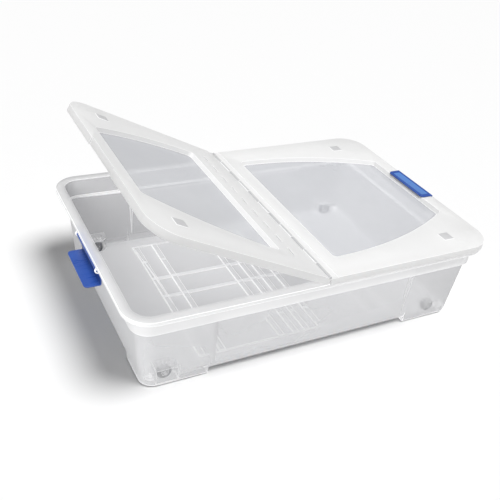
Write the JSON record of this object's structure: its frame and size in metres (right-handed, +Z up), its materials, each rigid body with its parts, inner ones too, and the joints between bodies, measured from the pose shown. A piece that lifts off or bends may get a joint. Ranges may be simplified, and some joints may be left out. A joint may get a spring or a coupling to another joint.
{
  "type": "under bed box",
  "caption": "Low translucent storage tub on rollers, with a lid in two hinged halves that have sunk clear windows, and a clip latch hooked over each end.",
  "frame": {"origin": "on the floor, under the middle of the tub", "axes": "+X along the box towards the closed half of the lid, +Y across the box, +Z up"},
  "size_m": [0.735, 0.49, 0.3282],
  "materials": {
    "tub_plastic": "translucent natural polypropylene, satin",
    "lid_plastic": "translucent natural polypropylene, frosted frame and smoother sunk windows",
    "latch_plastic": "royal blue, moulded, semi-gloss",
    "roller_plastic": "grey-blue, moulded",
    "bracket_plastic": "translucent, moulded",
    "rod_steel": "drawn wire"
  },
  "bodies": {
    "tub": {"tub": "tub_plastic", "wheel_axle_1": "rod_steel", "wheel_axle_2": "rod_steel", "wheel_axle_3": "rod_steel", "wheel_axle_4": "rod_steel", "wheel_bracket_1": "bracket_plastic", "wheel_bracket_2": "bracket_plastic", "wheel_bracket_3": "bracket_plastic", "wheel_bracket_4": "bracket_plastic"},
    "lid_hinge": {"hinge_rod": "rod_steel"},
    "lid_left": {"lid_left": "lid_plastic"},
    "lid_right": {"lid_right": "lid_plastic"},
    "latch_left": {"latch_left": "latch_plastic"},
    "latch_right": {"latch_right": "latch_plastic"},
    "wheel_1": {"wheel_1": "roller_plastic"},
    "wheel_2": {"wheel_2": "roller_plastic"},
    "wheel_3": {"wheel_3": "roller_plastic"},
    "wheel_4": {"wheel_4": "roller_plastic"}
  },
  "joints": [
    {"name": "lid_lift", "type": "slide", "parent": "tub", "child": "lid_hinge", "axis": [0, 0, 1], "range_m": [0, 0.2]},
    {"name": "lid_left_fold", "type": "hinge", "parent": "lid_hinge", "child": "lid_left", "pos_m": [-0.008, 0, 0.173], "axis": [0, 1, 0], "range_deg": [-26, 58]},
    {"name": "lid_right_fold", "type": "hinge", "parent": "lid_hinge", "child": "lid_right", "pos_m": [-0.008, 0, 0.173], "axis": [0, -1, 0], "range_deg": [0, 84]},
    {"name": "latch_left_swing", "type": "hinge", "parent": "tub", "child": "latch_left", "pos_m": [-0.3525, 0, 0.142], "axis": [0, -1, 0], "range_deg": [-180, 0]},
    {"name": "latch_right_swing", "type": "hinge", "parent": "tub", "child": "latch_right", "pos_m": [0.3525, 0, 0.142], "axis": [0, 1, 0], "range_deg": [0, 180]},
    {"name": "wheel_1_roll", "type": "hinge", "parent": "tub", "child": "wheel_1", "pos_m": [-0.281, -0.1975, 0.013], "axis": [0, 1, 0], "continuous": true},
    {"name": "wheel_2_roll", "type": "hinge", "parent": "tub", "child": "wheel_2", "pos_m": [-0.281, 0.1975, 0.013], "axis": [0, 1, 0], "continuous": true},
    {"name": "wheel_3_roll", "type": "hinge", "parent": "tub", "child": "wheel_3", "pos_m": [0.281, -0.1975, 0.013], "axis": [0, 1, 0], "continuous": true},
    {"name": "wheel_4_roll", "type": "hinge", "parent": "tub", "child": "wheel_4", "pos_m": [0.281, 0.1975, 0.013], "axis": [0, 1, 0], "continuous": true}
  ]
}
